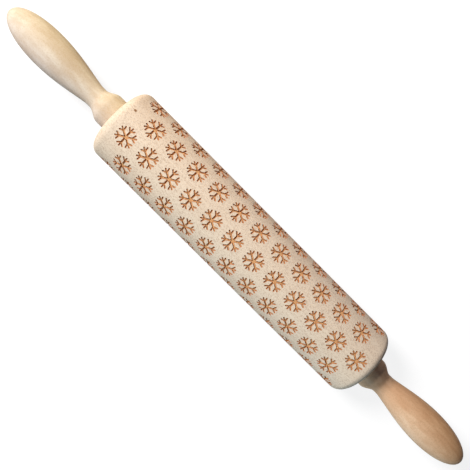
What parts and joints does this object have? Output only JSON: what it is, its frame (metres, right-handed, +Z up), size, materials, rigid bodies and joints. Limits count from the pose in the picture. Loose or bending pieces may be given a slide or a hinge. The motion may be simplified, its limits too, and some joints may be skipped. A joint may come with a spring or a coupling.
{
  "type": "embossed rolling pin",
  "caption": "Wooden rolling pin: snowflake-engraved barrel turning on sealed ball bearings round a steel axle, with a turned handle at each end.",
  "frame": {"origin": "the middle of the barrel, on the axle's centre line", "axes": "+X along the axle from the left handle to the right handle, +Z up as the pin lies on a table"},
  "size_m": [0.4374, 0.054, 0.0536],
  "materials": {
    "barrel_wood": "matt, sanded, unvarnished",
    "handle_wood": "smooth, oiled, low sheen",
    "steel": "satin, zinc-bright",
    "bearing_steel": "ground and polished",
    "brass": "turned",
    "nylon": "natural, moulded"
  },
  "bodies": {
    "roller": {"barrel": "barrel_wood", "bearing_outer_ring_right": "bearing_steel", "bearing_shield_right_outside": "steel", "bearing_shield_right_inside": "steel", "bearing_outer_ring_left": "bearing_steel", "bearing_shield_left_outside": "steel", "bearing_shield_left_inside": "steel"},
    "handle_axle": {"axle": "steel", "handle_right": "handle_wood", "threaded_insert_right": "brass", "lock_nut_right": "steel", "spacer_washer_right": "steel", "bearing_inner_ring_right": "bearing_steel", "handle_left": "handle_wood", "threaded_insert_left": "brass", "lock_nut_left": "steel", "spacer_washer_left": "steel", "bearing_inner_ring_left": "bearing_steel"},
    "right_ball_cage": {"ball_cage_right": "nylon", "ball_right_1": "bearing_steel", "ball_right_2": "bearing_steel", "ball_right_3": "bearing_steel", "ball_right_4": "bearing_steel", "ball_right_5": "bearing_steel", "ball_right_6": "bearing_steel", "ball_right_7": "bearing_steel"},
    "left_ball_cage": {"ball_cage_left": "nylon", "ball_left_1": "bearing_steel", "ball_left_2": "bearing_steel", "ball_left_3": "bearing_steel", "ball_left_4": "bearing_steel", "ball_left_5": "bearing_steel", "ball_left_6": "bearing_steel", "ball_left_7": "bearing_steel"}
  },
  "joints": [
    {"name": "axle_turn", "type": "hinge", "parent": "roller", "child": "handle_axle", "pos_m": [0, 0, 0], "axis": [1, 0, 0], "continuous": true},
    {"name": "right_cage_turn", "type": "hinge", "parent": "roller", "child": "right_ball_cage", "pos_m": [0.1126, 0, 0], "axis": [1, 0, 0], "continuous": true},
    {"name": "left_cage_turn", "type": "hinge", "parent": "roller", "child": "left_ball_cage", "pos_m": [-0.1126, 0, 0], "axis": [1, 0, 0], "continuous": true}
  ],
  "couplings": [
    {"joint": "right_cage_turn", "follows": "axle_turn", "ratio": 0.36904},
    {"joint": "left_cage_turn", "follows": "axle_turn", "ratio": 0.36904}
  ]
}
